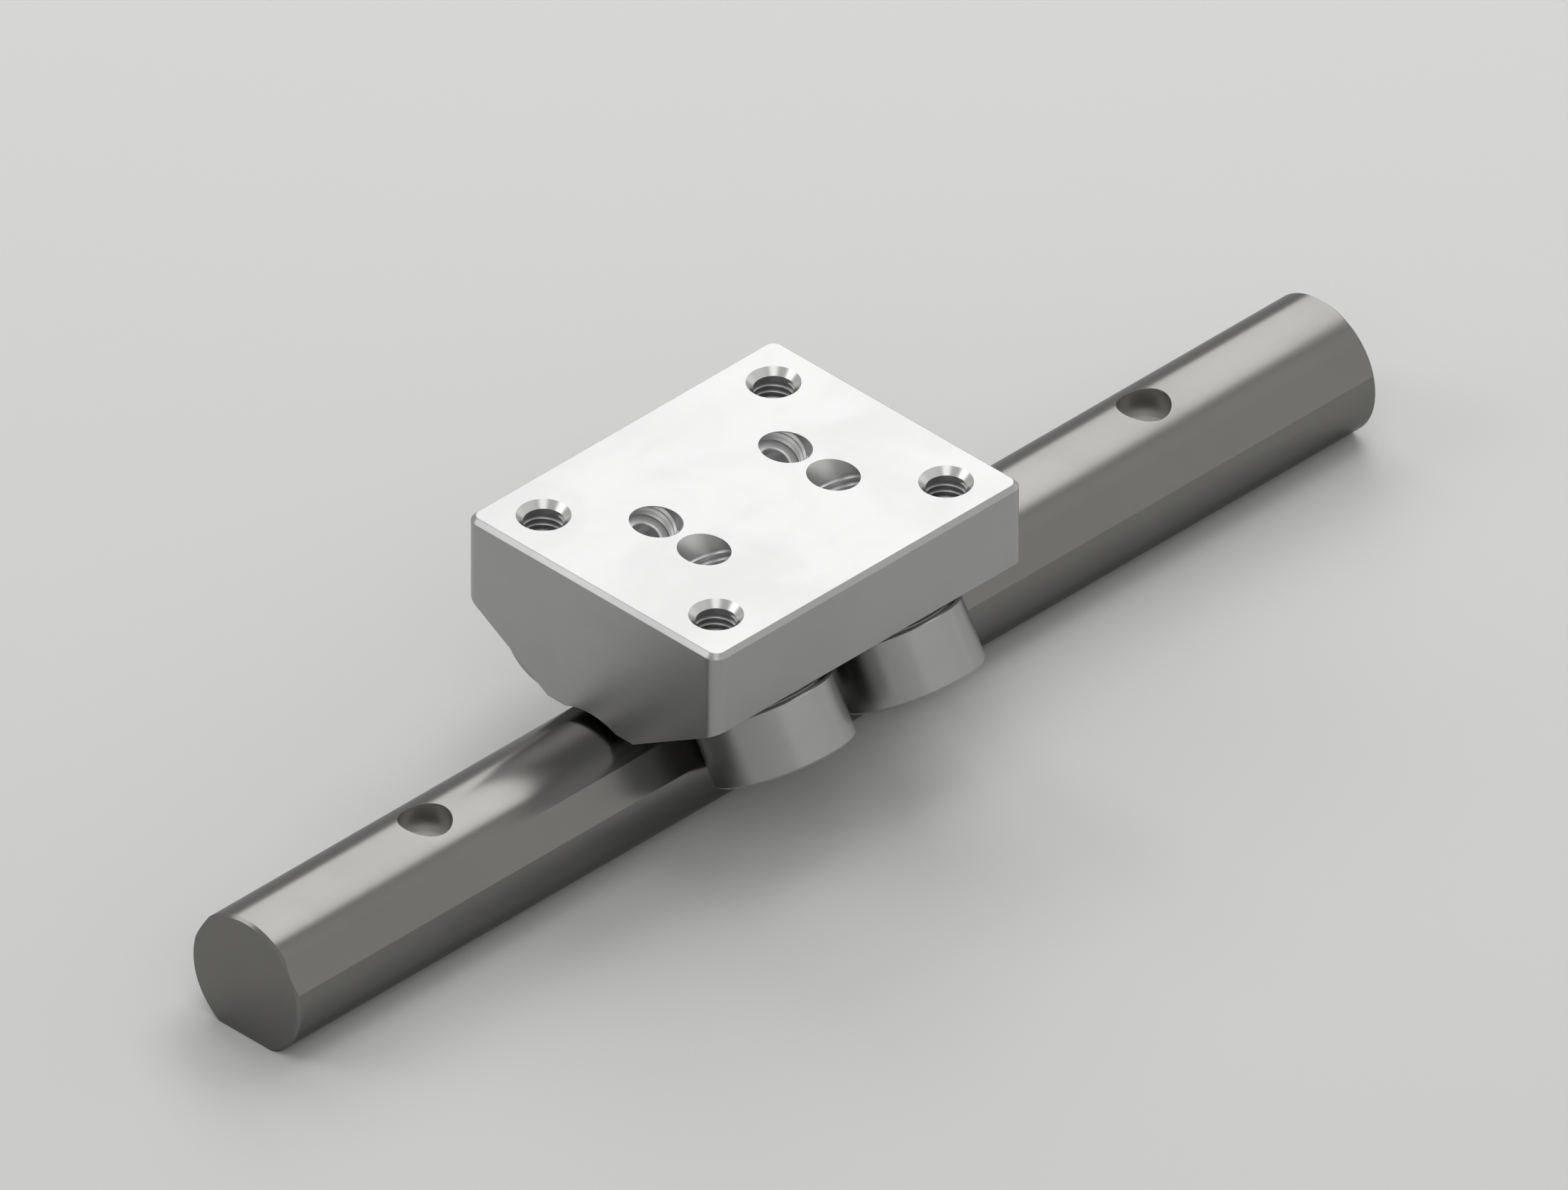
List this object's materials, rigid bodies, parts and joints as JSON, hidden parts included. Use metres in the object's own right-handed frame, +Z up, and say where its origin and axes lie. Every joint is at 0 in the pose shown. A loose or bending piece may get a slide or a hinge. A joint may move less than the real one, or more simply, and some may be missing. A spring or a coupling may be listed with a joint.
{
  "type": "roller linear guide",
  "caption": "Straight round-bar rail with slanted running flats, carrying a block-shaped carriage plate on tilted stud rollers; tapped holes on top, screw holes along the rail.",
  "frame": {"origin": "centre of the rail's bottom mounting flat, at half the rail's length", "axes": "+X along the rail, the way the carriage runs; +Z up, square to the mounting flat and to the carriage's top face; +Y across"},
  "size_m": [0.3, 0.0842, 0.06],
  "materials": {
    "rail_steel": "hardened and ground, satin",
    "plate_aluminium": "milled, clear matt anodised",
    "roller_steel": "hardened and ground",
    "stud_steel": "turned and ground",
    "flange_steel": "turned",
    "needle_steel": "lapped"
  },
  "bodies": {
    "rail": {"rail": "rail_steel"},
    "carriage": {"carriage_plate": "plate_aluminium", "roller_stud_1": "stud_steel", "roller_stud_2": "stud_steel", "roller_stud_3": "stud_steel", "roller_stud_4": "stud_steel", "flange_plate_1": "flange_steel", "flange_plate_2": "flange_steel", "flange_plate_3": "flange_steel", "flange_plate_4": "flange_steel", "needle_set_1": "needle_steel", "needle_set_2": "needle_steel", "needle_set_3": "needle_steel", "needle_set_4": "needle_steel"},
    "roller_1": {"roller_ring_1": "roller_steel"},
    "roller_2": {"roller_ring_2": "roller_steel"},
    "roller_3": {"roller_ring_3": "roller_steel"},
    "roller_4": {"roller_ring_4": "roller_steel"}
  },
  "joints": [
    {"name": "carriage_slide", "type": "slide", "parent": "rail", "child": "carriage", "axis": [1, 0, 0], "range_m": [-0.096, 0.118]},
    {"name": "roller_1_spin", "type": "hinge", "parent": "carriage", "child": "roller_1", "pos_m": [-0.029, -0.02582, 0.02683], "axis": [0, 0.5, 0.866], "continuous": true},
    {"name": "roller_2_spin", "type": "hinge", "parent": "carriage", "child": "roller_2", "pos_m": [0.007, -0.02582, 0.02683], "axis": [0, 0.5, 0.866], "continuous": true},
    {"name": "roller_3_spin", "type": "hinge", "parent": "carriage", "child": "roller_3", "pos_m": [-0.029, 0.02582, 0.02683], "axis": [0, -0.5, 0.866], "continuous": true},
    {"name": "roller_4_spin", "type": "hinge", "parent": "carriage", "child": "roller_4", "pos_m": [0.007, 0.02582, 0.02683], "axis": [0, -0.5, 0.866], "continuous": true}
  ],
  "couplings": [
    {"joint": "roller_1_spin", "follows": "carriage_slide", "rad_per_m": 66.667},
    {"joint": "roller_2_spin", "follows": "carriage_slide", "rad_per_m": 66.667},
    {"joint": "roller_3_spin", "follows": "carriage_slide", "rad_per_m": -66.667},
    {"joint": "roller_4_spin", "follows": "carriage_slide", "rad_per_m": -66.667}
  ]
}
